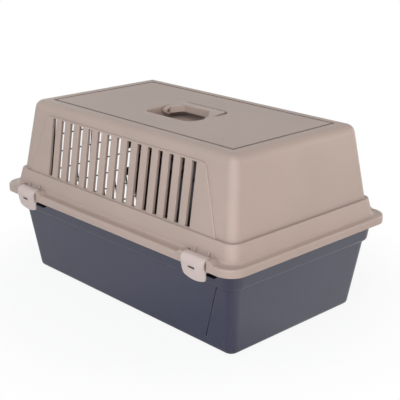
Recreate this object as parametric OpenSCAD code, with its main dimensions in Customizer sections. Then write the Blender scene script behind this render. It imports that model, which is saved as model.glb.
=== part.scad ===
// Pet carrier: a moulded tray and hood held by four snap clips, with a
// folding top handle and a bent wire door with a sprung double latch.
// Millimetres. +Z is up, +X points to the closed end, the door is at -X.
// The origin is the centre of the underside.

/* [Overall] */
// Length over the rim
rim_l = 500; // [490:1:520]
// Width over the rim
rim_w = 320.5; // [312:0.5:330]
// Height of the roof
total_h = 268.8; // [262:0.1:290]
// Wall thickness of both mouldings
wall = 2.5; // [2:0.1:3]

/* [Tray] */
// Length of the underside
base_l = 432; // [424:1:440]
// Width of the underside
base_w = 246.4; // [238:0.1:252]
// Height of the tray to the top of its flange
tray_h = 135.9; // [130:0.1:140]
// Width of the tray's flange beyond its end walls
flange_end = 15.1; // [13:0.1:18]
// Width of the tray's flange beyond its side walls
flange_side = 18.2; // [16:0.1:21]
// Thickness of the floor
floor_t = 2.8; // [2:0.1:4]
// Rounding of the underside's edge
base_edge_r = 5; // [3:0.5:8]
// Radius of the tray's upright corners
tray_corner_r = 12; // [9:0.5:16]
// Height of the band under the rim
band_h = 36.4; // [30:0.1:42]
// How far the band stands out of the wall
band_proud = 5; // [3:0.5:6]
// Depth of the turned-down edge of the tray's flange
return_h = 8.4; // [7:0.1:10]
// Width of the slanted groove in each long side
groove_w = 1.6; // [1:0.1:2.5]
// Depth of the slanted groove
groove_d = 1.4; // [0.8:0.1:1.8]

/* [Hood] */
// Depth of the lip that hangs over the tray's flange
lip_h = 11.3; // [10.5:0.1:12]
// Radius of the rim's corners
rim_corner_r = 25; // [20:1:30]
// Rounding of the rim's outer edge
rim_edge_r = 2.6; // [1.5:0.1:4]
// Height of the skirt from the rim to the ledge
skirt_h = 24.2; // [20:0.1:30]
// Rounding where the skirt meets the rim
skirt_fillet = 7; // [4:0.5:8]
// Rounding where the skirt meets the rim behind a clip
clip_fillet = 2.6; // [1:0.1:3.5]
// Distance of the end walls' foot from the rim's edge
rim_end = 21.2; // [18:0.1:24]
// Distance of the side walls' foot from the rim's edge
rim_side = 24.4; // [21:0.1:27]
// Width of the ledge
ledge = 5; // [3:0.5:7]
// How much further out the skirt's foot stands than its top
skirt_flare = 3.2; // [2:0.1:4]
// Lean of the end walls, degrees
end_lean = 7.63; // [5:0.01:10]
// Lean of the side walls, degrees
side_lean = 8.5; // [6:0.01:11]
// Rounding of the roof's edge
roof_edge_r = 14; // [9:0.5:15]
// Radius of the hood's upright corners
hood_corner_r = 14; // [13.5:0.5:16]
// Distance of the roof's groove from the end walls' lines
border_end = 22.9; // [19:0.1:28]
// Distance of the roof's groove from the side walls' lines
border_side = 19.9; // [17:0.1:26]
// Width of the groove round the roof
roof_groove_w = 4.2; // [2:0.1:6]
// Depth of the groove round the roof
roof_groove_d = 2.2; // [1:0.1:3]

/* [Vents] */
// Slots in each long side
slot_n = 15; // [9:1:15]
// Width of a slot
slot_w = 8.5; // [6:0.5:11]
// Distance of the end slots from the panel's upper corners
slot_margin = 21.5; // [16:0.5:40]
// Height of wall and roof above the slots
slot_head = 19.3; // [16:0.1:34]
// Height of the bar between the ledge and the slots
slot_sill = 1.8; // [1:0.1:8]
// Shift of the slots towards the door
slot_shift = 3; // [0:0.5:5]
// How far the slotted panel stands out of the wall
panel_proud = 1.6; // [0.8:0.1:2.4]
// Width of the bevel round the panel
panel_bevel = 0.8; // [0.4:0.1:1.2]
// Panel left above the slots
panel_head = 2.6; // [1.5:0.1:5]
// Distance of the panel's lower corners from the walls' ends
panel_end = 27.3; // [22:0.1:32]
// How much each end of the panel leans in up to its upper edge
panel_taper = 29.5; // [24:0.5:36]
// Radius of the panel's upper corners
panel_corner_r = 14; // [8:1:18]

/* [Handle] */
// Length of the pocket in the roof
pocket_l = 103; // [90:0.5:112]
// Width of the pocket
pocket_w = 88; // [80:0.5:100]
// Depth of the pocket below the roof
pocket_d = 17.5; // [14:0.5:20]
// Radius of the pocket's corners
pocket_corner_r = 18; // [8:1:22]
// Rounding of the pocket's upper edge
pocket_lip_r = 2; // [1:0.5:3]
// Shift of the pocket towards the closed end
pocket_shift = 1.5; // [0:0.5:6]
// Shift of the pocket towards the front long side
pocket_front = 2; // [0:0.5:6]
// Gap between the handle and the pocket's ends
handle_gap = 0.8; // [0.5:0.1:2]
// Gap between the grip and the pocket's long sides
grip_side_gap = 6.5; // [4:0.5:10]
// Width of the grip
grip_w = 16; // [12:0.5:18]
// Thickness of the grip
grip_t = 10.5; // [8:0.5:12]
// How far the grip stands out of the roof
grip_proud = 1.8; // [0:0.1:4]
// Rounding of the grip's outer edges
grip_edge_r = 4; // [2:0.5:5]
// Width of each arm
arm_w = 9; // [7:0.5:12]
// How much an arm widens towards the grip
arm_flare = 12; // [6:0.5:14]
// Depth of the pivots below the roof
pivot_depth = 6.6; // [6:0.1:8]
// Radius of the pivot pins
handle_pin_r = 2.4; // [2:0.1:3]
// Wall of the bosses that hold the pivot pins
pin_boss_wall = 2.8; // [2:0.1:4]
// Depth of the bosses behind the pocket's ends
pin_boss_l = 5; // [3:0.5:8]
// Depth of the pins' ends below the arms' inner faces
pin_recess = 0.8; // [0.3:0.1:2]

/* [Clips] */
// Distance of the clips' middles from the rim's ends
clip_end = 66; // [60:1:100]
// Width of a clip
clip_w = 42; // [36:1:46]
// Thickness of a clip
clip_t = 2.4; // [2:0.1:2.6]
// How far a clip stands out of the lip
clip_proud = 3; // [2.5:0.1:4]
// Height of a clip from its top to its finger edge
clip_h = 31.5; // [29:0.5:36]
// How much the finger edge is drawn in under the rim
clip_draw = 5; // [3:0.5:6]
// How far the finger edge bows down in the middle
clip_bow = 2.5; // [1:0.5:5]
// Bite of a clip's hook under the tray's turned-down edge
hook_bite = 2.4; // [1.5:0.1:2.5]
// Radius of a clip's hinge bar
bar_r = 1.6; // [1.3:0.1:1.8]
// Distance between the two ribs behind a clip
lug_pitch = 24.6; // [20:0.2:28]
// Thickness of a rib behind a clip
lug_t = 2.8; // [1.5:0.1:3.5]
// Reach of a rib behind a clip
rib_reach = 4.1; // [2.5:0.1:4.5]
// Depth of the finger recess in the tray behind a clip
finger_recess_d = 10; // [6:0.5:12]
// Width of the slot in a clip
window_w = 12; // [8:0.5:14]
// Height of the slot in a clip
window_h = 3.2; // [1.5:0.1:4]
// Length of the ramps beside a clip
ramp_l = 8; // [4:1:12]
// Width of the flat end of a ramp
ramp_flat = 4.5; // [3:0.5:6]

/* [Door] */
// Height of the doorway's sill
sill_z = 34; // [28:0.5:38]
// Height of wall and roof above the doorway
head_wall = 25.8; // [24:0.1:32]
// Width of the doorway
doorway_w = 176; // [170:1:182]
// Radius of the doorway's corners
doorway_r = 10; // [6:1:14]
// How much wider than the doorway the rim's gap is at each side
rim_gap_side = 11; // [8:1:14]
// Gap between the door's rods and the doorway's sides
door_gap = 3; // [2.5:0.1:5]
// Depth of the door behind the outer faces of the walls
door_recess = 6; // [5.5:0.1:8]
// Radius of the door's rods
rod_r = 2; // [1.8:0.1:2.4]
// Radius of the door's wires
wire_r = 1.1; // [0.9:0.1:1.4]
// Cross wires between the two rails
cross_n = 6; // [4:1:7]
// Spacing of the upright wires
upright_pitch = 24.6; // [20:0.1:30]
// How far the hinge line stands out of the walls
hinge_out = 5.3; // [4:0.1:7]
// Wall round a hinge pin
lug_wall = 3; // [2:0.1:4]
// Height of the hinge lugs
hinge_lug_h = 7; // [5:0.5:10]

/* [Latch] */
// Distance of the latch bolts from the door's free rod
bolt_inset = 9; // [8:0.5:14]
// Stroke of each bolt
bolt_stroke = 8; // [6:0.5:9]
// How far a bolt enters its keeper
bolt_bite = 4.5; // [3:0.5:5.5]
// Gap between a finger grip and the guide next to it
grip_gap = 9; // [8.5:0.5:12]
// Length of a finger grip
pull_l = 13; // [10:0.5:16]
// Gap between a finger grip and the free rod
pull_gap = 0.5; // [0.4:0.1:2]
// Wall of the bolts' guides
guide_wall = 1.6; // [1.2:0.1:2.2]
// Height of a guide
guide_h = 5; // [4:0.5:7]
// Radius of the springs' middle line
coil_r = 3.1; // [2.9:0.1:3.4]
// Radius of the springs' wire
coil_wire_r = 0.45; // [0.35:0.05:0.5]
// Turns of each spring
coil_turns = 7; // [5:1:8]

/* [Hidden] */
$fn = 32;

hood_colour = [0.66, 0.57, 0.51];
clip_colour = [0.74, 0.66, 0.61];
tray_colour = [0.22, 0.23, 0.27];
wire_colour = [0.12, 0.12, 0.13];
pull_colour = [0.10, 0.10, 0.11];
steel_colour = [0.72, 0.73, 0.75];

eps = 0.01;
weld = 0.02;            // gap left at a weld between two wires
seat = 0.3;             // gap between a moving piece and what it rests on
fit = 0.05;             // running clearance of a pin, on the radius
corner_steps = 8;       // facets of a quarter corner
edge_steps = 6;         // facets of a rounded edge

// ---- levels and half sizes of the two mouldings
rim_a = rim_l / 2;
rim_b = rim_w / 2;
rim_top = tray_h + wall;
lip_z = rim_top - lip_h;
band_z = tray_h - band_h;
slope_a = (rim_a - flange_end - base_l / 2) / tray_h;
slope_b = (rim_b - flange_side - base_w / 2) / tray_h;
function tray_a(z) = base_l / 2 + z * slope_a;
function tray_b(z) = base_w / 2 + z * slope_b;
step_z = rim_top + skirt_h;
step_a = rim_a - rim_end;
step_b = rim_b - rim_side;
function hood_a(z) = step_a - (z - step_z) * tan(end_lean);
function hood_b(z) = step_b - (z - step_z) * tan(side_lean);
foot_a = step_a + ledge + skirt_flare;
foot_b = step_b + ledge + skirt_flare;
groove_a = hood_a(total_h) - border_end;
groove_b = hood_b(total_h) - border_side;
return_a = rim_a - wall - seat;
return_b = rim_b - wall - seat;
return_z = tray_h - return_h;

// ---- a rounded rectangle of half sizes a and b, counter-clockwise
function ring(a, b, r, n = corner_steps) = [
    for (q = [0:3])
        for (i = [0:n])
            let (t = 90 * q + 90 * i / n,
                 sx = (q == 0 || q == 3) ? 1 : -1,
                 sy = (q < 2) ? 1 : -1)
            [sx * (a - r) + r * cos(t), sy * (b - r) + r * sin(t)]];

// ---- a solid through outlines [points, z] of as many points, listed upwards
module stack(outlines) {
    m = len(outlines[0][0]);
    last = len(outlines) - 1;
    points = [for (o = outlines) for (p = o[0]) [p[0], p[1], o[1]]];
    sides = [for (j = [0:last - 1]) for (i = [0:m - 1])
        [j * m + i, (j + 1) * m + i, (j + 1) * m + (i + 1) % m, j * m + (i + 1) % m]];
    base = [[for (i = [0:m - 1]) i]];
    lid = [[for (i = [m - 1:-1:0]) last * m + i]];
    polyhedron(points = points, faces = concat(base, sides, lid), convexity = 8);
}
// ---- a solid through rounded rectangles [a, b, r, z], listed upwards
module loft(levels) {
    stack([for (l = levels) [ring(l[0], l[1], l[2]), l[3]]]);
}

// ---- a round tube along a path; the reference vectors lie across the path
function unit(v) = v / norm(v);
module tube(path, r, sides, ref) {
    last = len(path) - 1;
    points = [for (i = [0:last])
        let (d = unit(path[min(i + 1, last)] - path[max(i - 1, 0)]),
             v = unit(cross(d, ref[i])),
             u = cross(v, d))
        for (k = [0:sides - 1])
            let (t = 360 * k / sides)
            path[i] + r * (cos(t) * u + sin(t) * v)];
    skin = [for (i = [0:last - 1]) for (k = [0:sides - 1])
        let (k1 = (k + 1) % sides, p = i * sides, q = (i + 1) * sides)
        each [[p + k, q + k, q + k1], [p + k, q + k1, p + k1]]];
    cap0 = [[for (k = [0:sides - 1]) k]];
    cap1 = [[for (k = [sides - 1:-1:0]) last * sides + k]];
    polyhedron(points = points, faces = concat(cap0, skin, cap1), convexity = 6);
}

// ---- corner points joined by bends that start l before each corner
function bends(c, l, n = 4) = [
    c[0],
    for (i = [1:len(c) - 2])
        let (p = c[i] + unit(c[i - 1] - c[i]) * l, q = c[i] + unit(c[i + 1] - c[i]) * l)
        for (k = [0:n])
            let (t = k / n)
            p * pow(1 - t, 2) + c[i] * 2 * t * (1 - t) + q * t * t,
    c[len(c) - 1]];
function across(path, v) = [for (p = path) v];
module wire(path, r, sides) {
    tube(path, r, sides, across(path, [0, 1, 0]));
}

// ---- a bar along X and a bar along Y of a round section
module bar_x(x0, x1, y, z, r) {
    translate([x0, y, z])
        rotate([0, 90, 0])
            cylinder(r = r, h = x1 - x0);
}
module bar_y(x, z, y0, y1, r) {
    translate([x, y0, z])
        rotate([-90, 0, 0])
            cylinder(r = r, h = y1 - y0);
}
module bar_z(x, y, z0, z1, r) {
    translate([x, y, z0])
        cylinder(r = r, h = z1 - z0);
}
module block(x0, x1, y0, y1, z0, z1) {
    translate([x0, y0, z0])
        cube([x1 - x0, y1 - y0, z1 - z0]);
}

// ---- frames of the long sides: x along the side, y up the wall, z out of it
module on_hood_side() {
    translate([0, -step_b, step_z])
        rotate([90 - side_lean, 0, 0])
            children();
}
module on_tray_side() {
    translate([0, -base_w / 2, 0])
        rotate([90 + atan(slope_b), 0, 0])
            children();
}
// Copies a front feature to the rear side
module both_sides() {
    children();
    mirror([0, 1, 0])
        children();
}

// ---- clip positions: x along the clip from its middle, y = -(distance out)
clip_gap = 0.6;
clip_top = rim_top + 4;
hinge_z = rim_top + bar_r + seat;
hinge_u = foot_b + rib_reach + seat + bar_r;
clip_x = rim_a - clip_end;
module at_clips() {
    for (sx = [-1, 1])
        both_sides()
            translate([sx * clip_x, 0, 0])
                children();
}

// ---- the door: its rods lie on two planes that meet at the bend
head_z = total_h - head_wall;
hinge_x = max(hood_a(head_z), tray_a(sill_z)) + hinge_out;
rod_y = doorway_w / 2 - door_gap - rod_r;
rod_top = head_z - door_gap;
rod_foot = sill_z + door_gap;
bend_z = tray_h - 3.3;
bend_x = door_recess - tray_a(bend_z);
top_x = door_recess - hood_a(rod_top);
lean_up = atan((top_x - bend_x) / (rod_top - bend_z));
lean_dn = atan(slope_a);
function door_x(z) = bend_x + abs(z - bend_z) * tan(z > bend_z ? lean_up : lean_dn);
module on_upper() {
    translate([bend_x, 0, bend_z])
        rotate([0, lean_up, 0])
            children();
}
module on_lower() {
    translate([bend_x, 0, bend_z])
        rotate([0, -lean_dn, 0])
            mirror([0, 0, 1])
                children();
}
function up_len(z) = (z - bend_z) / cos(lean_up);
function dn_len(z) = (bend_z - z) / cos(lean_dn);
// Depths behind the plane of the rods' middles
cross_n_in = rod_r + weld + wire_r;
rail_n_in = 2 * rod_r + weld;
upright_n_in = rod_r - wire_r;
rail_top_z = rod_top - 5;
rail_foot_z = rod_foot + 5;
// Cross wire i from below: half of them on each side of the bend
function cross_z(i) = i <= cross_n / 2
    ? rail_foot_z + i * (bend_z - rail_foot_z) / (cross_n / 2 + 0.5)
    : rail_top_z - (cross_n + 1 - i) * (rail_top_z - bend_z) / (cross_n / 2 + 0.5);
wire_over = 3;          // how far the cross wires pass the rods' middles
crank_top = rod_top - rod_r;
crank_foot = rod_foot + rod_r;
bolt_r = 1.8;
bolt_y = rod_y - bolt_inset;
bolt_n = 0.6;           // how far the bolts lie in front of the rods' plane
keeper_gap = 1.2;
keeper_h = bolt_bite + 3.5;
module keeper_block(x, z0, z1) {
    block(x - 12, x + 7, bolt_y - 6, bolt_y + 6, z0, z1);
}

// ================================================================ tray
// Moulded in one shot: floor, drafted walls, band and turned-down flange
band_top = tray_h - wall;
function tray_r(z) = tray_corner_r + z * 0.03;
module tray_body(top) {
    loft([
        for (i = [0:3])
            let (t = 30 * i, s = base_edge_r * (1 - sin(t)), z = base_edge_r * (1 - cos(t)))
            [tray_a(z) - s, tray_b(z) - s, tray_r(0) - s, z],
        [tray_a(band_z), tray_b(band_z), tray_r(band_z), band_z],
        [tray_a(band_z + 1.6) + band_proud * 0.75, tray_b(band_z + 1.6) + band_proud * 0.75,
            tray_r(band_z) + band_proud * 0.75, band_z + 1.6],
        [tray_a(band_z + 4) + band_proud, tray_b(band_z + 4) + band_proud,
            tray_r(band_z) + band_proud, band_z + 4],
        [tray_a(top) + band_proud - 0.6, tray_b(top) + band_proud - 0.6,
            tray_r(band_z) + band_proud, top]]);
}
// The space inside the tray
module tray_room() {
    q = wall;
    s = band_z + 5;
    loft([
        [tray_a(floor_t) - q - 1.6, tray_b(floor_t) - q - 1.6, tray_r(0) - q - 1.6, floor_t],
        [tray_a(floor_t + 1.8) - q, tray_b(floor_t + 1.8) - q, tray_r(0) - q, floor_t + 1.8],
        [tray_a(band_z + 1) - q, tray_b(band_z + 1) - q, tray_r(band_z) - q, band_z + 1],
        [tray_a(s) + band_proud - q, tray_b(s) + band_proud - q, tray_r(band_z) + band_proud - q, s],
        [tray_a(tray_h + 1) + band_proud - 0.6 - q, tray_b(tray_h + 1) + band_proud - 0.6 - q,
            tray_r(band_z) + band_proud - q, tray_h + 1]]);
}
module tray_flange() {
    difference() {
        loft([[return_a, return_b, rim_corner_r - wall - seat, return_z],
            [return_a, return_b, rim_corner_r - wall - seat, tray_h]]);
        loft([[return_a - wall, return_b - wall, rim_corner_r - 2 * wall - seat, return_z - 1],
            [return_a - wall, return_b - wall, rim_corner_r - 2 * wall - seat, band_top]]);
    }
}
// Finger recess in the band behind a clip, grown by g
recess_z = clip_top - clip_h + 1.5;
module finger_recess(g) {
    w = clip_w / 2;
    u0 = tray_b(recess_z) + band_proud - finger_recess_d - g;
    translate([0, -u0, 0])
        rotate([90, 0, 0])
            linear_extrude(height = 40)
                polygon([[-w - 15 - g, return_z - 1.5 + g * 0.4], [-w - g * 0.7, recess_z - g],
                    [w + g * 0.7, recess_z - g], [w + 15 + g, return_z - 1.5 + g * 0.4]]);
}
rim_gap_b = doorway_w / 2 + rim_gap_side;
module doorway(z0) {
    zc = (z0 + head_z) / 2;
    translate([-rim_a - 10, 0, zc])
        rotate([90, 0, 90])
            linear_extrude(height = rim_a + 10 - hood_a(total_h) + roof_edge_r)
                polygon(ring(doorway_w / 2, (head_z - z0) / 2, doorway_r));
}
// Ends of the slanted groove: [place along the side, height]
groove_top = [rim_a - 48.2, band_z - 1];
groove_foot = [rim_a - 78.8, 14.4];
module tray() {
    color(tray_colour) {
        difference() {
            union() {
                tray_body(tray_h - 1);
                tray_flange();
            }
            difference() {
                tray_room();
                at_clips()
                    finger_recess(wall);
                keeper_block(door_x(sill_z), sill_z - keeper_h, sill_z);
            }
            at_clips()
                finger_recess(0);
            doorway(sill_z);
            block(-rim_a - 10, -tray_a(band_top) - band_proud - 0.5,
                -rim_gap_b, rim_gap_b, return_z - 1, tray_h + 1);
            both_sides()
                on_tray_side()
                    groove();
            on_lower()
                keeper_bore(dn_len(sill_z));
        }
        hinge_lug(crank_foot - rod_r - seat - hinge_lug_h, crank_foot - rod_r - seat, 0.6 - tray_a(sill_z));
    }
}
module groove() {
    c = cos(atan(slope_b));
    p = [groove_foot[0], groove_foot[1] / c];
    q = [groove_top[0], groove_top[1] / c];
    d = unit(q - p);
    translate([p[0], p[1], -groove_d])
        rotate([0, 0, atan2(d[1], d[0])]) {
            translate([0, -groove_w / 2, 0])
                cube([norm(q - p), groove_w, groove_d + 2]);
            cylinder(d = groove_w - eps, h = groove_d + 2);
        }
}
// A lug with a bore for one end of the door's hinge rod
module hinge_lug(z0, z1, wall_x) {
    r = rod_r + fit + lug_wall;
    difference() {
        union() {
            bar_z(-hinge_x, -rod_y, z0, z1, r);
            block(-hinge_x, wall_x, -rod_y - r, -rod_y + r, z0, z1);
        }
        bar_z(-hinge_x, -rod_y, z0 - 1, z1 + 1, rod_r + fit);
    }
}

// ================================================================ hood
// Moulded in one shot: lip, flange, skirt, ledge, leaning walls and roof
foot_r = hood_corner_r + 3;
zc = total_h - roof_edge_r;
lean_m = (end_lean + side_lean) / 2;
function arc_a(r, t) = hood_a(zc) - roof_edge_r / cos(end_lean) + r * cos(t);
function arc_b(r, t) = hood_b(zc) - roof_edge_r / cos(side_lean) + r * cos(t);
function arc_r(r, t) = max(0.8, hood_corner_r - roof_edge_r + r - r * (1 - cos(t)));
module rim_solid(top) {
    e = rim_edge_r;
    loft([
        [rim_a, rim_b, rim_corner_r, lip_z],
        [rim_a, rim_b, rim_corner_r, top - e],
        for (i = [1:4])
            let (t = 22.5 * i, s = e * (1 - cos(t)))
            [rim_a - s, rim_b - s, rim_corner_r - s, top - e + e * sin(t)]]);
}
module hood_body() {
    f = skirt_fillet;
    loft([
        [foot_a + f, foot_b + f, foot_r + f, lip_z + 2],
        for (i = [0:3])
            let (t = 30 * i, s = f * (1 - sin(t)))
            [foot_a + s, foot_b + s, foot_r + s, rim_top + f * (1 - cos(t))],
        [step_a + ledge, step_b + ledge, foot_r, step_z - 1.4],
        [step_a + ledge - 0.5, step_b + ledge - 0.5, foot_r - 0.5, step_z - 0.4],
        [step_a + ledge - 1.5, step_b + ledge - 1.5, foot_r - 1.5, step_z],
        [step_a, step_b, hood_corner_r, step_z],
        for (i = [0:edge_steps])
            let (t = lean_m + (90 - lean_m) * i / edge_steps)
            [arc_a(roof_edge_r, t), arc_b(roof_edge_r, t), arc_r(roof_edge_r, t),
                zc + roof_edge_r * sin(t)]]);
}
module hood_room() {
    q = wall;
    r = roof_edge_r - wall;
    loft([
        [rim_a - q, rim_b - q, rim_corner_r - q, lip_z - 1],
        [rim_a - q, rim_b - q, rim_corner_r - q, tray_h],
        [foot_a - q, foot_b - q, foot_r - q, tray_h],
        [foot_a - q, foot_b - q, foot_r - q, rim_top + skirt_fillet],
        [step_a + ledge - q, step_b + ledge - q, foot_r - q, step_z - q],
        [step_a - q, step_b - q, hood_corner_r - q, step_z - q],
        for (i = [0:3])
            let (t = lean_m + (90 - lean_m) * i / 3)
            [arc_a(r, t), arc_b(r, t), arc_r(r, t), zc + r * sin(t)]]);
}
panel_h = (total_h - slot_head + panel_head - step_z) / cos(side_lean);
panel_foot = step_a - panel_end;
panel_top = panel_foot - panel_taper;
// Outline of the slotted panel, drawn in by b
function panel_outline(b) =
    let (r = panel_corner_r,
         x = panel_top + panel_taper / panel_h * r / 2 - r)
    [[b - panel_foot, -1], [panel_foot - b, -1],
     for (i = [0:6]) [x + (r - b) * cos(15 * i), panel_h - r + (r - b) * sin(15 * i)],
     for (i = [6:-1:0]) [-x - (r - b) * cos(15 * i), panel_h - r + (r - b) * sin(15 * i)]];
module vent_panel() {
    translate([-slot_shift + 0.5, 0, 0])
        stack([[panel_outline(0), -1], [panel_outline(0), panel_proud - panel_bevel],
            [panel_outline(panel_bevel), panel_proud]]);
}
module vent_slots() {
    y0 = slot_sill;
    y1 = panel_h - panel_head / cos(side_lean);
    pitch = 2 * (panel_top - slot_margin) / (slot_n - 1);
    for (i = [0:slot_n - 1])
        translate([-slot_shift + (i - (slot_n - 1) / 2) * pitch - slot_w / 2, y0, -3 * wall])
            cube([slot_w, y1 - y0, 3 * wall + panel_proud + 3]);
}
// Pocket for the handle, sunk into the roof
pocket_x = pocket_shift;
pocket_y = -pocket_front;
pocket_a = pocket_l / 2 - pocket_lip_r;
pocket_b = pocket_w / 2 - pocket_lip_r;
pocket_z = total_h - pocket_d;
module pocket() {
    e = pocket_lip_r;
    r = pocket_corner_r - e;
    translate([pocket_x, pocket_y, 0])
        loft([[pocket_a - 2, pocket_b - 2, r - 2, pocket_z], [pocket_a, pocket_b, r, pocket_z + 2],
            for (i = [0:3])
                let (s = e * (1 - cos(30 * i)))
                [pocket_a + s, pocket_b + s, r + s, total_h - e + e * sin(30 * i)],
            [pocket_a + e, pocket_b + e, r + e, total_h + 1]]);
}
// The pocket's own floor and walls, seen from below
module pocket_tub() {
    q = wall;
    r = pocket_corner_r - pocket_lip_r + q;
    translate([pocket_x, pocket_y, 0])
        loft([[pocket_a + q - 2, pocket_b + q - 2, r - 2, pocket_z - q],
            [pocket_a + q, pocket_b + q, r, pocket_z - q + 2],
            [pocket_a + q, pocket_b + q, r, total_h]]);
}
// Groove round the roof, and the bead under it that keeps the wall's thickness
module roof_groove(g) {
    difference() {
        block(-groove_a - g, groove_a + g, -groove_b - g, groove_b + g,
            total_h - roof_groove_d - g, total_h + 1);
        block(-groove_a + roof_groove_w + g, groove_a - roof_groove_w - g,
            -groove_b + roof_groove_w + g, groove_b - roof_groove_w - g, total_h - 10, total_h + 2);
    }
}
// Bosses on both sides of a clip, with the rim's own outer face
module clip_bosses() {
    w = clip_w / 2 + clip_gap;
    intersection() {
        rim_solid(clip_top);
        at_clips()
            for (s = [-1, 1])
                scale([s, 1, 1])
                    translate([w, -foot_b + 1, 0])
                        rotate([90, 0, 0])
                            linear_extrude(height = 40)
                                polygon([[0, tray_h + 1], [ramp_flat + ramp_l, tray_h + 1],
                                    [ramp_flat + ramp_l, rim_top], [ramp_flat, clip_top], [0, clip_top]]);
    }
}
// Small ribs that stiffen the skirt's foot behind a clip
module clip_ribs() {
    at_clips()
        clip_rib_pair();
}
module clip_rib_pair() {
    for (s = [-1, 1])
        translate([s * lug_pitch / 2 - lug_t / 2, 0, 0])
            rotate([90, 0, 90])
                linear_extrude(height = lug_t)
                    polygon([[1 - foot_b, rim_top - 1], [-foot_b - rib_reach, rim_top - 1],
                        [-foot_b - rib_reach, rim_top + 2], [0.6 - foot_b, rim_top + 10],
                        [1 - foot_b, rim_top + 10]]);
}
module clip_notches() {
    w = clip_w / 2 + clip_gap;
    at_clips() {
        block(-w, w, -rim_b - 5, -rim_b + wall + 0.02, lip_z - 1, clip_top + 1);
        difference() {
            block(-w, w, -rim_b - 5, -foot_b - clip_fillet, rim_top, rim_top + skirt_fillet);
            clip_rib_pair();
        }
        bar_x(-w - stub_l - 0.6, w + stub_l + 0.6, -hinge_u, hinge_z, bar_r + fit);
    }
}
stub_l = 3;
pin_x = pocket_a + wall + pin_boss_l;
pin_z = total_h - pivot_depth;
module pin_bosses() {
    r = handle_pin_r + fit + pin_boss_wall;
    bar_x(pocket_x - pin_x, pocket_x - pocket_a - 0.5, pocket_y, pin_z, r);
    bar_x(pocket_x + pocket_a + 0.5, pocket_x + pin_x, pocket_y, pin_z, r);
}
module keeper_bore(start) {
    bar_z(-bolt_n, bolt_y, start - 2, start + bolt_bite + 1.5, bolt_r + keeper_gap);
}
module hood() {
    color(hood_colour) {
        difference() {
            union() {
                rim_solid(rim_top);
                hood_body();
                clip_bosses();
                clip_ribs();
                both_sides()
                    on_hood_side()
                        vent_panel();
            }
            difference() {
                hood_room();
                roof_groove(wall);
                pocket_tub();
                pin_bosses();
                keeper_block(door_x(head_z), head_z, head_z + keeper_h);
            }
            roof_groove(0);
            pocket();
            bar_x(pocket_x - pin_x - 1, pocket_x + pin_x + 1, pocket_y, pin_z, handle_pin_r + fit);
            both_sides()
                on_hood_side()
                    vent_slots();
            clip_notches();
            doorway(lip_z - 60);
            block(-rim_a - 10, -foot_a - 0.5, -rim_gap_b, rim_gap_b,
                lip_z - 1, rim_top + skirt_fillet + 0.5);
            on_upper()
                keeper_bore(up_len(head_z));
        }
        hinge_lug(crank_top + rod_r + seat, crank_top + rod_r + seat + hinge_lug_h, 0.6 - hood_a(head_z));
    }
}

// ================================================================ clips
// One moulding each: hinge bar, top plate, curved outer face, hook, finger edge.
// The plate starts in front of the bar, or it would catch the ribs as it opens
plate_set = 1;
module clip() {
    w = clip_w / 2;
    t = clip_t;
    uo = rim_b + clip_proud;
    ub = uo - clip_draw;
    zb = clip_top - clip_h;
    r = 7;
    color(clip_colour)
    difference() {
        union() {
            intersection() {
                translate([-w, 0, 0])
                    rotate([90, 0, 90])
                        linear_extrude(height = clip_w)
                            mirror([1, 0])
                                polygon([
                                    [hinge_u, clip_top - t],
                                    for (i = [0:5])
                                        let (q = 90 - 18 * i)
                                        [uo - r + (r - t) * cos(q), clip_top - r + (r - t) * sin(q)],
                                    [uo - t, clip_top - r - 4],
                                    [uo - t - clip_draw * 0.22, return_z - seat],
                                    [return_b - hook_bite, return_z - seat],
                                    [return_b - hook_bite, return_z - seat - 1.2],
                                    [uo - t - clip_draw * 0.4, return_z - seat - 4.5],
                                    [ub - t, zb - clip_bow], [ub, zb - clip_bow],
                                    [uo - clip_draw * 0.2, return_z - seat],
                                    [uo, clip_top - r - 4],
                                    for (i = [5:-1:0])
                                        let (q = 90 - 18 * i)
                                        [uo - r + r * cos(q), clip_top - r + r * sin(q)],
                                    [hinge_u + plate_set, clip_top],
                                    [hinge_u, hinge_z + bar_r - eps]]);
                clip_outline();
            }
            bar_x(-w - clip_gap - stub_l, w + clip_gap + stub_l, -hinge_u, hinge_z, bar_r);
        }
        translate([-window_w / 2 - 3, -rim_b - 20, recess_z + 12])
            cube([window_w, 40, window_h]);
    }
}
// Front view of a clip: straight sides, then drawn in to a bowed finger edge
module clip_outline() {
    w = clip_w / 2;
    zb = clip_top - clip_h;
    translate([0, -rim_b + 40, 0])
        rotate([90, 0, 0])
            linear_extrude(height = 80)
                polygon([[-w, clip_top + 1], [-w, zb + 9], [-w + 1, zb + 4], [-w + 2.5, zb + 1.5],
                    for (i = [0:6])
                        let (x = -1 + 2 * (i + 1) / 8)
                        [x * (w - 2.5), zb + 1.5 - (clip_bow + 1.5) * (1 - x * x)],
                    [w - 2.5, zb + 1.5], [w - 1, zb + 4], [w, zb + 9], [w, clip_top + 1]]);
}
module clip_front_right() {
    translate([clip_x, 0, 0])
        clip();
}
module clip_front_left() {
    translate([-clip_x, 0, 0])
        clip();
}
module clip_rear_right() {
    translate([clip_x, 0, 0])
        mirror([0, 1, 0])
            clip();
}
module clip_rear_left() {
    translate([-clip_x, 0, 0])
        mirror([0, 1, 0])
            clip();
}

// ================================================================ handle
// A moulded bail that folds flat into the pocket towards the rear side
handle_w = pocket_a - handle_gap;
handle_k = handle_w - arm_w;
handle_reach = pocket_b - grip_side_gap;
grip_top = total_h + grip_proud;
grip_foot = grip_top - grip_t;
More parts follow.
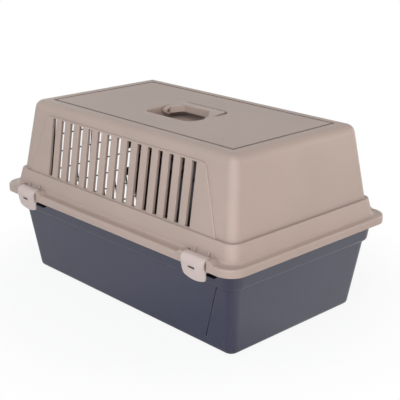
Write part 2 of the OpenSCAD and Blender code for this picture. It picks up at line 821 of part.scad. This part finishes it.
// Plan of the handle from its pivots: arms that widen towards the grip
module handle_plan() {
    w = handle_w;
    k = handle_k;
    g = handle_reach - grip_w;
    r = 12;
    translate([pocket_x, pocket_y, pin_z - 40])
        linear_extrude(height = 80)
            polygon([
                [w, -arm_h / 2],
                for (i = [0:5]) [w - r + r * cos(18 * i), handle_reach - r + r * sin(18 * i)],
                for (i = [5:-1:0]) [r - w - r * cos(18 * i), handle_reach - r + r * sin(18 * i)],
                [-w, -arm_h / 2], [-k, -arm_h / 2], [-k, arm_h / 2],
                [arm_flare - k - 1, g - 2.5], [arm_flare - k + 2, g],
                [k - arm_flare - 2, g], [k - arm_flare + 1, g - 2.5], [k, arm_h / 2], [k, -arm_h / 2]]);
}
// Side view of the handle: round eyes, arms and the grip's section
arm_h = 2 * (handle_pin_r + fit) + 5;
module handle_side() {
    e = grip_edge_r;
    g = handle_reach - grip_w;
    translate([pocket_x - handle_w - 1, pocket_y, 0])
        rotate([90, 0, 90])
            linear_extrude(height = 2 * handle_w + 2)
                polygon([
                    for (i = [0:6])
                        let (t = 270 - 30 * i)
                        [arm_h / 2 * cos(t), pin_z + arm_h / 2 * sin(t)],
                    [g - 4, grip_top - 0.7], [g + 2, grip_top],
                    for (i = [0:4])
                        [handle_reach - e + e * sin(22.5 * i), grip_top - e + e * cos(22.5 * i)],
                    for (i = [0:4])
                        [handle_reach - e + e * cos(22.5 * i), grip_foot + e - e * sin(22.5 * i)],
                    [g + 2, grip_foot], [g - 4, grip_foot]]);
}
module handle() {
    color(hood_colour)
        difference() {
            intersection() {
                handle_plan();
                handle_side();
            }
            bar_x(pocket_x - handle_w - 1, pocket_x + handle_w + 1, pocket_y, pin_z, handle_pin_r + weld);
        }
}
module handle_pin_door_end() {
    color(hood_colour)
        bar_x(pocket_x - pin_x + 0.4, pocket_x - handle_k - pin_recess, pocket_y, pin_z, handle_pin_r);
}
module handle_pin_closed_end() {
    color(hood_colour)
        bar_x(pocket_x + handle_k + pin_recess, pocket_x + pin_x - 0.4, pocket_y, pin_z, handle_pin_r);
}

// ================================================================ door
// Bent and welded steel wire
rod_path = bends([
    [top_x, 0, rod_top], [bend_x, 0, bend_z], [door_x(rod_foot), 0, rod_foot]], 4);
hinge_path = bends([
    [-hinge_x, 0, crank_top + 5], [-hinge_x, 0, crank_top], [door_x(crank_top), 0, crank_top],
    [bend_x, 0, bend_z], [door_x(crank_foot), 0, crank_foot],
    [-hinge_x, 0, crank_foot], [-hinge_x, 0, crank_foot - 5]], 3);
module door_hinge_rod() {
    color(wire_colour)
        translate([0, -rod_y, 0]) {
            wire(hinge_path, rod_r - fit, 12);
            bar_z(-hinge_x, 0, crank_top + 3, crank_top + rod_r + seat + hinge_lug_h - 0.5, rod_r);
            bar_z(-hinge_x, 0, crank_foot - rod_r - seat - hinge_lug_h + 0.5, crank_foot - 3, rod_r);
        }
}
module door_free_rod() {
    color(wire_colour)
        translate([0, rod_y, 0])
            wire(rod_path, rod_r, 12);
}
module cross_bar(z, n, r) {
    lean = z > bend_z ? lean_up : -lean_dn;
    bar_y(door_x(z) + n / cos(lean), z, -rod_y - wire_over, rod_y + wire_over, r);
}
module door_top_rail() {
    color(wire_colour)
        cross_bar(rail_top_z, rail_n_in, rod_r);
}
module door_bottom_rail() {
    color(wire_colour)
        cross_bar(rail_foot_z, rail_n_in, rod_r);
}
module door_cross_wires() {
    color(wire_colour)
        for (i = [1:cross_n])
            cross_bar(cross_z(i), cross_n_in, wire_r);
}
module door_upright_wires() {
    path = bends([
        [door_x(rail_top_z + 3) + upright_n_in, 0, rail_top_z + 3], [bend_x + upright_n_in, 0, bend_z],
        [door_x(rail_foot_z - 3) + upright_n_in, 0, rail_foot_z - 3]], 3);
    color(wire_colour)
        for (y = [rod_y - 18.4 - 5 * upright_pitch:upright_pitch:rod_y - 18])
            translate([0, y, 0])
                wire(path, wire_r, 8);
}

// ================================================================ latch
// Two spring bolts on the door's free side, drawn towards each other
function up_at(i) = up_len(cross_z(i));
function dn_at(i) = dn_len(cross_z(i));
guide_a = [up_at(cross_n - 1), up_at(cross_n)];
guide_b = [dn_at(2), dn_at(1)];
module guide() {
    h = bolt_r + fit + guide_wall;
    difference() {
        block(-bolt_n - h, rod_r, bolt_y - h, bolt_y + h, -guide_h / 2, guide_h / 2);
        bar_z(-bolt_n, bolt_y, -guide_h, guide_h, bolt_r + fit);
    }
}
module latch_guides() {
    color(wire_colour) {
        for (p = guide_a)
            on_upper()
                translate([0, 0, p])
                    guide();
        for (p = guide_b)
            on_lower()
                translate([0, 0, p])
                    guide();
    }
}
collar_h = 1.5;
pull_w = bolt_inset - rod_r - pull_gap;
function grip_at(guide) = guide - guide_h / 2 - grip_gap - pull_l / 2;
module bolt(grip, tip) {
    bar_z(-bolt_n, bolt_y, grip - 4, tip, bolt_r);
}
module collar(top) {
    difference() {
        bar_z(-bolt_n, bolt_y, top - collar_h, top, coil_r + coil_wire_r);
        bar_z(-bolt_n, bolt_y, top - collar_h - 1, top + 1, bolt_r + weld);
    }
}
module pull(grip) {
    w = pull_w;
    h = pull_l / 2;
    difference() {
        translate([0, bolt_y, grip])
            rotate([0, -90, 0])
                linear_extrude(height = 9)
                    polygon(ring(h, w, 3));
        block(-30, -6.5, bolt_y - w - 1, bolt_y + w + 1, grip - h - 1, grip + 1.5);
        bar_z(-bolt_n, bolt_y, grip - 4 - weld, grip + h + 1, bolt_r + weld);
    }
}
module coil(z0, z1) {
    r = coil_wire_r;
    n = coil_turns * 8;
    g = 0.12;
    path = [for (i = [0:n])
        let (t = 360 * i / 8)
        [-bolt_n + coil_r * cos(t), bolt_y + coil_r * sin(t), z0 + r + g + (z1 - z0 - 2 * r - 2 * g) * i / n]];
    tube(path, r, 6, [for (i = [0:n]) [0, 0, 1]]);
}
coil_a0 = guide_a[0] + guide_h / 2;
coil_a1 = guide_a[1] - guide_h / 2 - seat - collar_h;
coil_b0 = guide_b[0] + guide_h / 2;
coil_b1 = guide_b[1] - guide_h / 2 - seat - collar_h;
coil_pitch = min(coil_a1 - coil_a0, coil_b1 - coil_b0) / coil_turns;
echo(least_gap_between_spring_turns = coil_pitch - 2.2 * coil_wire_r);
module upper_bolt() {
    color(wire_colour)
        on_upper()
            bolt(grip_at(guide_a[0]), up_len(head_z + bolt_bite));
}
module upper_collar() {
    color(wire_colour)
        on_upper()
            collar(coil_a1 + collar_h);
}
module upper_pull() {
    color(pull_colour)
        on_upper()
            pull(grip_at(guide_a[0]));
}
module upper_spring() {
    color(steel_colour)
        on_upper()
            coil(coil_a0, coil_a1);
}
module lower_bolt() {
    color(wire_colour)
        on_lower()
            bolt(grip_at(guide_b[0]), dn_len(sill_z - bolt_bite));
}
module lower_collar() {
    color(wire_colour)
        on_lower()
            collar(coil_b1 + collar_h);
}
module lower_pull() {
    color(pull_colour)
        on_lower()
            pull(grip_at(guide_b[0]));
}
module lower_spring() {
    color(steel_colour)
        on_lower()
            coil(coil_b0, coil_b1);
}

tray();
hood();
clip_front_right();
clip_front_left();
clip_rear_right();
clip_rear_left();
handle();
handle_pin_door_end();
handle_pin_closed_end();
door_hinge_rod();
door_free_rod();
door_top_rail();
door_bottom_rail();
door_cross_wires();
door_upright_wires();
latch_guides();
upper_bolt();
upper_collar();
upper_pull();
upper_spring();
lower_bolt();
lower_collar();
lower_pull();
lower_spring();
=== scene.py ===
"""The looks of a plastic pet carrier: a grey tray, a taupe hood with vents,
four snap clips, a folding handle and a bent wire door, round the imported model."""

import bpy
import numpy as np
from mathutils import Matrix


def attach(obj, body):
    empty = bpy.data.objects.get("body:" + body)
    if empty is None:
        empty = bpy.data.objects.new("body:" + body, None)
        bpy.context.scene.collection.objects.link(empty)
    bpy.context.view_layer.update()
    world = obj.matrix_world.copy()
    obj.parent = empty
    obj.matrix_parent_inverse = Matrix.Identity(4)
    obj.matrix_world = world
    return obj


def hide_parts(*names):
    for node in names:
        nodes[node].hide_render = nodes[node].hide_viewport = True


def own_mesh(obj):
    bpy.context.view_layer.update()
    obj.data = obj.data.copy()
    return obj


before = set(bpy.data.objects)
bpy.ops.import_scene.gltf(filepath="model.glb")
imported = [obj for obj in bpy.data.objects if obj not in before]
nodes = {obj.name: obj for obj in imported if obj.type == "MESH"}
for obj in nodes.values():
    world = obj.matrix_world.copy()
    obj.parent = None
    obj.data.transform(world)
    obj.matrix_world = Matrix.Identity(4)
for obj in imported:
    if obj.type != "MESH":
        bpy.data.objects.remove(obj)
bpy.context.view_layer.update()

# ---------------------------------------------------------------- tray
# The tray is one injection moulding in slate grey polypropylene. Its mould
# was spark-eroded, so the skin has a fine satin grain; its edges get a painted paler
# highlight.

TRAY_GREY = (0.018, 0.019, 0.050, 1.0)
TRAY_EDGE_HIGHLIGHT = (0.17, 0.175, 0.215, 1.0)

# The skin of every moulding: patterns per metre, lengths in metres, shares of 1
CLOUD_SCALE = 9.0
HIGHLIGHT_PATCH_SCALE = 60.0
CREASE_REACH = 0.012
# The painted edge highlight and the painted crease shade in the colour
EDGE_HIGHLIGHT_SHARE = 0.7
CREASE_SHADE_SHARE = 0.75
CREASE_SHADE_LEVEL = 0.2
GRAIN_SHINE = 0.10
GRAIN_STRENGTH = 0.35


class Flow:
    """A socket of one material's nodes. Operators add Math nodes."""

    def __init__(self, tree, socket=None):
        self.tree = tree
        self.socket = socket

    def node(self, kind, settings=None, inputs=None, out=0):
        """Adds a node: its settings first, then values or links of its sockets."""
        made = self.tree.nodes.new(kind)
        for key, value in (settings or {}).items():
            setattr(made, key, value)
        for key, value in (inputs or {}).items():
            if isinstance(value, Flow):
                self.tree.links.new(value.socket, made.inputs[key])
            else:
                made.inputs[key].default_value = value
        return Flow(self.tree, made.outputs[out])

    def maths(self, operation, first, second):
        return self.node("ShaderNodeMath", {"operation": operation}, {0: first, 1: second})

    def __add__(self, other):
        return self.maths("ADD", self, other)

    def __radd__(self, other):
        return self.maths("ADD", other, self)

    def __sub__(self, other):
        return self.maths("SUBTRACT", self, other)

    def __rsub__(self, other):
        return self.maths("SUBTRACT", other, self)

    def __mul__(self, other):
        return self.maths("MULTIPLY", self, other)

    def __rmul__(self, other):
        return self.maths("MULTIPLY", other, self)

    def clip(self, low, high):
        """Maps low..high to 0..1 and holds the ends."""
        ends = {"From Min": low, "From Max": high, "To Min": 0.0, "To Max": 1.0}
        return self.node("ShaderNodeMapRange", {"clamp": True}, {"Value": self, **ends})

    def tint(self, mask, first, second):
        """Mixes two colours by a mask. A Mix node's colours are its sockets 6 and 7."""
        colours = {0: mask, 6: first, 7: second}
        return self.node("ShaderNodeMix", {"data_type": "RGBA"}, colours, out=2)

    def noise(self, place, scale, detail):
        """A soft random pattern, 0..1, of so many waves a metre."""
        pattern = {"Vector": place, "Scale": scale, "Detail": detail}
        return self.node("ShaderNodeTexNoise", None, pattern)

    def dot(self, first, second):
        """The dot product of two vectors."""
        pair = {0: first, 1: second}
        return self.node("ShaderNodeVectorMath", {"operation": "DOT_PRODUCT"}, pair, "Value")


def shaded(colour, share):
    """A colour with its light scaled by a share."""
    return tuple(part * share for part in colour[:3]) + (1.0,)


def moulded(name, body, edge_highlight, rough, grain, edge, bump=0.00004, cloud=0.12, ior=1.49):
    """Grained injection-moulded plastic. Colour is the body with slow clouds, then a painted
    highlight in patches where the rounded normal turns from the flat one, then painted
    shade where a crease is shut off from open air; the spark-eroded grain is a fine bump
    that also varies the shine."""
    made = bpy.data.materials.new(name)
    made.use_nodes = True
    tree = made.node_tree
    skin = tree.nodes["Principled BSDF"]
    flow = Flow(tree)
    place = flow.node("ShaderNodeTexCoord", out="Object")
    fine = flow.noise(place, grain, 3.0)
    slow = flow.noise(place, CLOUD_SCALE, 2.0)
    highlight_patches = flow.noise(place, HIGHLIGHT_PATCH_SCALE, 4.0)
    soft = flow.node("ShaderNodeBevel", {"samples": 6}, {"Radius": edge})
    flat = flow.node("ShaderNodeNewGeometry", out="Normal")
    open_air = flow.node(
        "ShaderNodeAmbientOcclusion", {"samples": 8}, {"Distance": CREASE_REACH}, "AO"
    )
    turned = 1.0 - flow.dot(soft, flat)
    # Painted highlight: a paler colour in patches along open rounded edges
    highlight_mask = turned.clip(0.02, 0.16) * highlight_patches.clip(0.25, 0.75) * open_air.clip(0.75, 0.95)
    # Painted shade: the colour darkens where a crease is shut off from open air
    crease_shade = 1.0 - open_air.clip(0.1, 0.9)
    colour = flow.tint(slow.clip(0.35, 0.65), shaded(body, 1.0 - cloud), body)
    colour = colour.tint(highlight_mask * EDGE_HIGHLIGHT_SHARE, colour, edge_highlight)
    colour = colour.tint(crease_shade * CREASE_SHADE_SHARE, colour, shaded(body, CREASE_SHADE_LEVEL))
    tree.links.new(colour.socket, skin.inputs["Base Color"])
    shine = fine.clip(0.3, 0.7) * GRAIN_SHINE + (rough - GRAIN_SHINE / 2.0)
    tree.links.new(shine.socket, skin.inputs["Roughness"])
    bumps = flow.node(
        "ShaderNodeBump",
        None,
        {"Strength": GRAIN_STRENGTH, "Distance": bump, "Height": fine, "Normal": soft},
    )
    tree.links.new(bumps.socket, skin.inputs["Normal"])
    skin.inputs["IOR"].default_value = ior
    return made


def dress(material, *names):
    """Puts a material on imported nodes."""
    for name in names:
        for slot in nodes[name].material_slots:
            slot.material = material


tray_plastic = moulded(
    "tray_plastic", TRAY_GREY, TRAY_EDGE_HIGHLIGHT, 0.31, 900.0, 0.0028, bump=0.000012, ior=1.7
)
dress(tray_plastic, "tray")

# ---------------------------------------------------------------- hood
# The hood is one moulding in warm taupe polypropylene with the same grain.
# Its lip drops over the tray's flange; nothing but the clips holds it.

TAUPE = (0.460, 0.350, 0.298, 1.0)
# The second colour is a painted highlight laid along rounded edges
TAUPE_EDGE_HIGHLIGHT = (0.70, 0.60, 0.54, 1.0)

hood_plastic = moulded("hood_plastic", TAUPE, TAUPE_EDGE_HIGHLIGHT, 0.46, 900.0, 0.0014, cloud=0.05)
dress(hood_plastic, "hood")

# ---------------------------------------------------------------- handle
# The handle is a solid bail of the hood's plastic on two pins, pressed
# into the pocket's bosses; the pins are coloured darker as painted shade for their bores.
# It is held most, so it is a little smoother.

handle_plastic = moulded("handle_plastic", TAUPE, TAUPE_EDGE_HIGHLIGHT, 0.40, 1100.0, 0.0016, cloud=0.05)
dress(handle_plastic, "handle")

# Painted shade: a dark brown that stands for the shaded bores of the pins
PIN_BORE_SHADE = (0.20, 0.155, 0.135, 1.0)

pin_plastic = moulded("pin_plastic", PIN_BORE_SHADE, TAUPE, 0.42, 1100.0, 0.0006, cloud=0.05)
dress(pin_plastic, "handle_pin_door_end", "handle_pin_closed_end")

# ---------------------------------------------------------------- clips
# The four clips are thin, slightly paler mouldings that swing on their own
# hinge bars and hook under the tray's turned-down edge.

CLIP_PALE = (0.62, 0.50, 0.46, 1.0)
# The second colour is a painted highlight laid along the clips' edges
CLIP_EDGE_HIGHLIGHT = (0.86, 0.80, 0.77, 1.0)

clip_plastic = moulded("clip_plastic", CLIP_PALE, CLIP_EDGE_HIGHLIGHT, 0.36, 1100.0, 0.0012, cloud=0.04)
dress(clip_plastic, "clip_front_right", "clip_front_left")
dress(clip_plastic, "clip_rear_right", "clip_rear_left")

# ---------------------------------------------------------------- door
# The door is bent and spot-welded steel wire, dipped in black paint; a dull grey
# highlight is painted along its edges. Its guides, bolts and collars are painted too.

WIRE_BLACK = (0.018, 0.018, 0.020, 1.0)
WIRE_EDGE_HIGHLIGHT = (0.07, 0.07, 0.075, 1.0)

wire_paint = moulded("wire_paint", WIRE_BLACK, WIRE_EDGE_HIGHLIGHT, 0.34, 700.0, 0.0004, bump=0.00006)
dress(wire_paint, "door_hinge_rod", "door_free_rod", "door_top_rail", "door_bottom_rail")
dress(wire_paint, "door_cross_wires", "door_upright_wires", "latch_guides")
dress(wire_paint, "upper_bolt", "upper_collar", "lower_bolt", "lower_collar")

# ---------------------------------------------------------------- latch
# Two black moulded grips are pressed onto the bolts, for a finger and thumb
# to draw them towards each other.

PULL_BLACK = (0.022, 0.022, 0.024, 1.0)
# The second colour is a painted highlight laid along the grips' edges
PULL_EDGE_HIGHLIGHT = (0.10, 0.10, 0.105, 1.0)

pull_plastic = moulded("pull_plastic", PULL_BLACK, PULL_EDGE_HIGHLIGHT, 0.45, 1200.0, 0.0008)
dress(pull_plastic, "upper_pull", "lower_pull")

# ---------------------------------------------------------------- springs
# Each bolt has a compression spring of bare drawn steel with closed ends. It
# stands on a guide and pushes the bolt's collar; the real spring shortens as the bolt
# is drawn, but this coil keeps its free length and rides with the door.

STEEL = (0.56, 0.565, 0.58, 1.0)
STEEL_DULL = (0.36, 0.35, 0.34, 1.0)
HAZE_SCALE = 400.0

# Lengths in metres; a closed turn rises by so many radii of the wire
COIL_RADIUS = 0.0031
COIL_WIRE = 0.00045
COIL_TURNS = 9
COIL_END_GAP = 0.00012
CLOSED_RISE = 2.1
STEPS_A_TURN = 24
WIRE_SIDES = 12

# Node, place of the foot, direction of the bolt, free length and the bolt's joint
SPRINGS = (
    (
        "upper_spring",
        (-0.222124, 0.074, 0.179047),
        (0.147437, 0.0, 0.989071),
        0.0227804,
        "upper_bolt_slide",
    ),
    (
        "lower_spring",
        (-0.223291, 0.074, 0.0912125),
        (0.137747, 0.0, -0.990467),
        0.0193348,
        "lower_bolt_slide",
    ),
)


def spring_wire(name):
    """Drawn steel: a thin oil haze that dulls the shine in patches."""
    made = bpy.data.materials.new(name)
    made.use_nodes = True
    tree = made.node_tree
    skin = tree.nodes["Principled BSDF"]
    flow = Flow(tree)
    haze = flow.noise(flow.node("ShaderNodeTexCoord", out="Object"), HAZE_SCALE, 3.0)
    colour = flow.tint(haze.clip(0.35, 0.7), STEEL, STEEL_DULL)
    tree.links.new(colour.socket, skin.inputs["Base Color"])
    tree.links.new((haze * 0.25 + 0.18).socket, skin.inputs["Roughness"])
    skin.inputs["Metallic"].default_value = 1.0
    return made


def coil(name, foot, along, length):
    """A round wire along a helix round the line from foot along the unit vector:
    angle = 2 pi turns s, height = wire radius + gap + rise(s), with one closed turn
    at each end; the wire's section is a circle across the helix."""
    s = np.linspace(0.0, 1.0, COIL_TURNS * STEPS_A_TURN + 1)
    angle = 2.0 * np.pi * COIL_TURNS * s
    start = COIL_WIRE + COIL_END_GAP
    closed = CLOSED_RISE * COIL_WIRE
    stops = [0.0, 1.0 / COIL_TURNS, 1.0 - 1.0 / COIL_TURNS, 1.0]
    heights = [start, start + closed, length - start - closed, length - start]
    height = np.interp(s, stops, heights)
    along = np.array(along)
    side = np.array([0.0, 1.0, 0.0])
    front = np.cross(side, along)
    outward = np.cos(angle)[:, None] * front + np.sin(angle)[:, None] * side
    middle = np.array(foot) + height[:, None] * along + COIL_RADIUS * outward
    ahead = np.gradient(middle, axis=0)
    ahead /= np.linalg.norm(ahead, axis=1)[:, None]
    across = np.cross(ahead, outward)
    turn = np.linspace(0.0, 2.0 * np.pi, WIRE_SIDES, endpoint=False)
    ring = (
        np.cos(turn)[None, :, None] * outward[:, None]
        + np.sin(turn)[None, :, None] * across[:, None]
    )
    points = (middle[:, None] + COIL_WIRE * ring).reshape(-1, 3)
    rows = len(s)
    i, k = np.meshgrid(np.arange(rows - 1), np.arange(WIRE_SIDES), indexing="ij")
    here, ahead_row = i * WIRE_SIDES, (i + 1) * WIRE_SIDES
    next_k = (k + 1) % WIRE_SIDES
    skin = np.stack([here + k, here + next_k, ahead_row + next_k, ahead_row + k], axis=-1)
    faces = skin.reshape(-1, 4).tolist()
    faces.append(list(range(WIRE_SIDES))[::-1])
    faces.append(list(range((rows - 1) * WIRE_SIDES, rows * WIRE_SIDES)))
    mesh = bpy.data.meshes.new(name)
    mesh.from_pydata(points.tolist(), [], faces)
    mesh.shade_smooth()
    made = bpy.data.objects.new(name, mesh)
    bpy.context.scene.collection.objects.link(made)
    return made


steel_wire = spring_wire("spring_steel")
for node, foot, along, length, slide in SPRINGS:
    spring = coil(node + "_coil", foot, along, length)
    spring.data.materials.append(steel_wire)
    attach(spring, "door")
    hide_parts(node)
    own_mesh(spring)

# ---------------------------------------------------------------- studio
# A pale floor, a soft even sky and four soft boxes, and the camera at the
# angle from which the carrier was photographed.

FLOOR_SIZE = 24.0
FLOOR_DROP = 0.0006
FLOOR_TONE = (0.9, 0.9, 0.9, 1.0)
FLOOR_ROUGH = 0.9
WHITE = (1.0, 1.0, 1.0, 1.0)

# Near the carrier this share of the floor is lit, not white, and keeps its shadow
SHADOW_SHARE = 0.12
SHADOW_REACH = (0.26, 0.42)

# In the carrier's gloss the floor is white to the camera's right and grey to its left
ASIDE = (0.69, 0.72, 0.0)
ASIDE_REACH = (0.03, 0.16)
LEFT_SHARE = 0.4

SKY_LIGHT = 0.28


def sheet(name, size, height):
    """A square: corner = (plus or minus size / 2, plus or minus size / 2, height)."""
    side = np.array([-0.5, 0.5]) * size
    x, y = np.meshgrid(side, side)
    points = np.column_stack([x.ravel(), y.ravel(), np.full(4, height)])
    mesh = bpy.data.meshes.new(name)
    mesh.from_pydata(points.tolist(), [], [(0, 1, 3, 2)])
    made = bpy.data.objects.new(name, mesh)
    bpy.context.scene.collection.objects.link(made)
    return made


def sight(flow):
    """Masks of the rays that come from the camera, from gloss and through glass."""
    rays = ("Is Camera Ray", "Is Glossy Ray", "Is Transmission Ray")
    return [flow.node("ShaderNodeLightPath", out=ray) for ray in rays]


def painted_floor(name):
    """Plain paint, mixed with white glow for the rays that look at the backdrop: all
    of it from afar, less near the carrier, and in gloss by the place to each side."""
    made = bpy.data.materials.new(name)
    made.use_nodes = True
    tree = made.node_tree
    paint = tree.nodes["Principled BSDF"]
    paint.inputs["Base Color"].default_value = FLOOR_TONE
    paint.inputs["Roughness"].default_value = FLOOR_ROUGH
    flow = Flow(tree)
    seen, gloss, through = sight(flow)
    spot = flow.node("ShaderNodeTexCoord", out="Object")
    reach = flow.node("ShaderNodeVectorMath", {"operation": "LENGTH"}, {0: spot}, "Value")
    aside = flow.dot(spot, ASIDE)
    panels = aside.clip(*ASIDE_REACH) + (0.0 - aside).clip(*ASIDE_REACH) * LEFT_SHARE
    backdrop = (seen + through + gloss * panels).clip(0.0, 1.0)
    afar = reach.clip(*SHADOW_REACH) * SHADOW_SHARE + (1.0 - SHADOW_SHARE)
    glow = flow.node("ShaderNodeEmission", None, {"Color": WHITE, "Strength": 1.0})
    mixed = flow.node(
        "ShaderNodeMixShader",
        None,
        {0: backdrop * afar, 1: Flow(tree, paint.outputs[0]), 2: glow},
    )
    tree.links.new(mixed.socket, tree.nodes["Material Output"].inputs["Surface"])
    return made


floor = sheet("studio_floor", FLOOR_SIZE, -FLOOR_DROP)
floor.data.materials.append(painted_floor("floor_paint"))

sky = bpy.data.worlds.new("studio_sky")
sky.use_nodes = True
bpy.context.scene.world = sky
backing = sky.node_tree.nodes["Background"]
backing.inputs["Color"].default_value = WHITE
seen, gloss, through = sight(Flow(sky.node_tree))
sky_strength = (seen + gloss + through).clip(0.0, 1.0) * (1.0 - SKY_LIGHT) + SKY_LIGHT
sky.node_tree.links.new(sky_strength.socket, backing.inputs["Strength"])

WARM = (1.0, 0.97, 0.95)
COOL = (0.70, 0.86, 1.0)
PLAIN = (1.0, 1.0, 1.0)
AIM_HEIGHT = 0.15


def soft_box(name, place, width, height, power, tone):
    """A flat lamp at place, facing the carrier; sizes in metres, power in watts."""
    lamp = bpy.data.lights.new(name, "AREA")
    lamp.shape = "RECTANGLE"
    lamp.size = width
    lamp.size_y = height
    lamp.energy = power
    lamp.color = tone
    made = bpy.data.objects.new(name, lamp)
    back = np.array(place, float) - np.array([0.0, 0.0, AIM_HEIGHT])
    back /= np.linalg.norm(back)
    right = np.cross([0.0, 0.0, 1.0], back)
    right /= np.linalg.norm(right)
    up = np.cross(back, right)
    turn = np.eye(4)
    turn[:3, 0], turn[:3, 1], turn[:3, 2], turn[:3, 3] = right, up, back, place
    made.matrix_world = Matrix(turn.tolist())
    bpy.context.scene.collection.objects.link(made)
    return made


soft_box("box_near", (1.7, -1.6, 1.15), 2.8, 2.2, 40.5, WARM)
soft_box("box_front", (0.4, -2.1, 1.5), 1.8, 1.8, 20.0, COOL)
soft_box("box_far_right", (0.95, 2.0, 0.5), 2.2, 1.0, 16.0, WARM)
soft_box("box_left", (-2.4, 0.6, 0.7), 1.2, 1.2, 5.0, PLAIN)

CAMERA_PLACE = (0.975650, -0.904353, 0.583651)
CAMERA_RIGHT = (0.6890822, 0.7246709, 0.0042175)
CAMERA_UP = (-0.2354429, 0.2183686, 0.9470384)
CAMERA_AHEAD = (-0.6853703, 0.6535803, -0.3210925)
FILM_WIDTH_MM = 36.0
LENS_MM = 84.768
FAR_CLIP = 100.0

lens = bpy.data.cameras.new("camera")
lens.sensor_width = FILM_WIDTH_MM
lens.lens = LENS_MM
lens.clip_end = FAR_CLIP
camera = bpy.data.objects.new("camera", lens)
camera_turn = np.eye(4)
camera_turn[:3, 0] = CAMERA_RIGHT
camera_turn[:3, 1] = CAMERA_UP
camera_turn[:3, 2] = -np.array(CAMERA_AHEAD)
camera_turn[:3, 3] = CAMERA_PLACE
camera.matrix_world = Matrix(camera_turn.tolist())
bpy.context.scene.collection.objects.link(camera)
bpy.context.scene.camera = camera
bpy.context.scene.view_settings.view_transform = "Standard"
